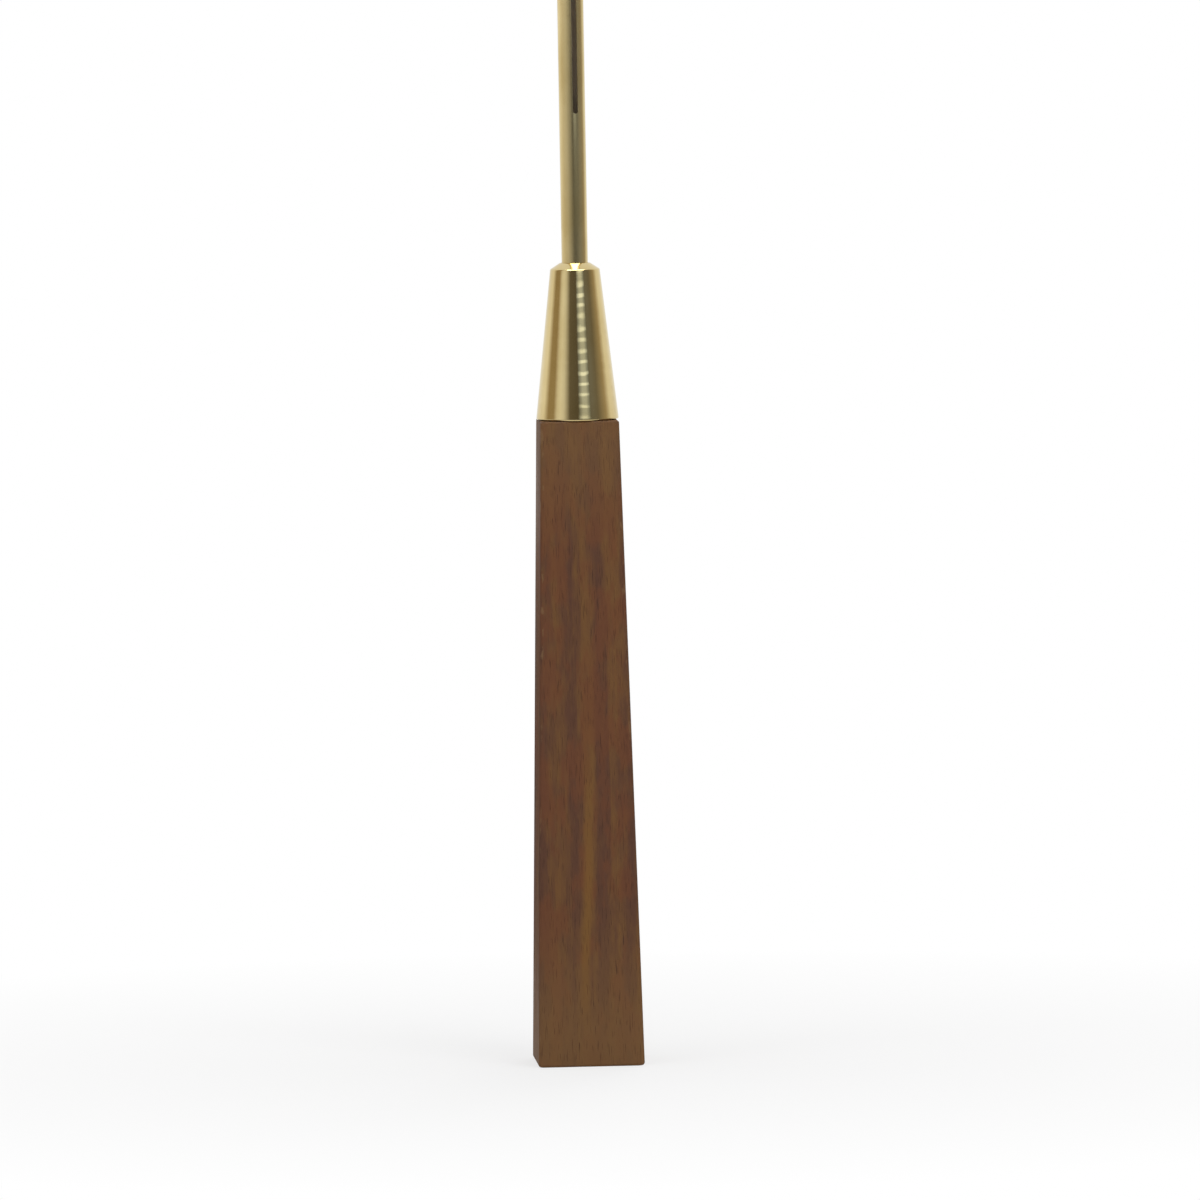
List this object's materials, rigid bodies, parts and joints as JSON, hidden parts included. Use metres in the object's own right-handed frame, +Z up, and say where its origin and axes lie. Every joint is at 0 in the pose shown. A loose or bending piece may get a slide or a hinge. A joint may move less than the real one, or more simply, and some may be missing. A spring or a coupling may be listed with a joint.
{
  "type": "candle lighter",
  "caption": "Candle lighter with a tapering wooden handle, brass ferrule and slotted tube, whose thumbscrewed slide feeds a wax taper, and a bell snuffer on a bent arm.",
  "frame": {"origin": "middle of the handle's flat foot", "axes": "+Z up along the tube towards the taper's tip, -Y out of the handle's front face, +X from the tube towards the bell"},
  "size_m": [0.0855, 0.034, 0.6345],
  "materials": {
    "walnut": "satin oiled",
    "brass": "turned and polished",
    "steel": "plain bright",
    "wax": "soft sheen",
    "cotton": "waxed cotton"
  },
  "bodies": {
    "lighter": {"handle": "walnut", "ferrule": "brass", "hanger_bolt": "steel", "main_tube": "brass", "wick_nozzle": "brass", "branch_collar": "brass", "collar_set_screw": "steel", "arm_set_screw": "steel", "bell_arm": "brass", "bell_bead": "brass", "bell": "brass", "bell_washer": "steel", "bell_nut": "brass"},
    "slide": {"slide_sleeve": "brass", "wick_carrier": "brass", "wax_taper": "wax", "wick_core": "cotton", "thumb_washer": "steel"},
    "thumbscrew": {"thumb_stud": "steel", "thumb_knob": "brass"}
  },
  "joints": [
    {"name": "taper_slide", "type": "slide", "parent": "lighter", "child": "slide", "axis": [0, 0, 1], "range_m": [-0.1179, 0.121]},
    {"name": "thumbscrew_turn", "type": "hinge", "parent": "slide", "child": "thumbscrew", "pos_m": [0.00208, -0.00978, 0.4064], "axis": [0.2079, -0.9781, 0], "range_deg": [0, 270]}
  ]
}
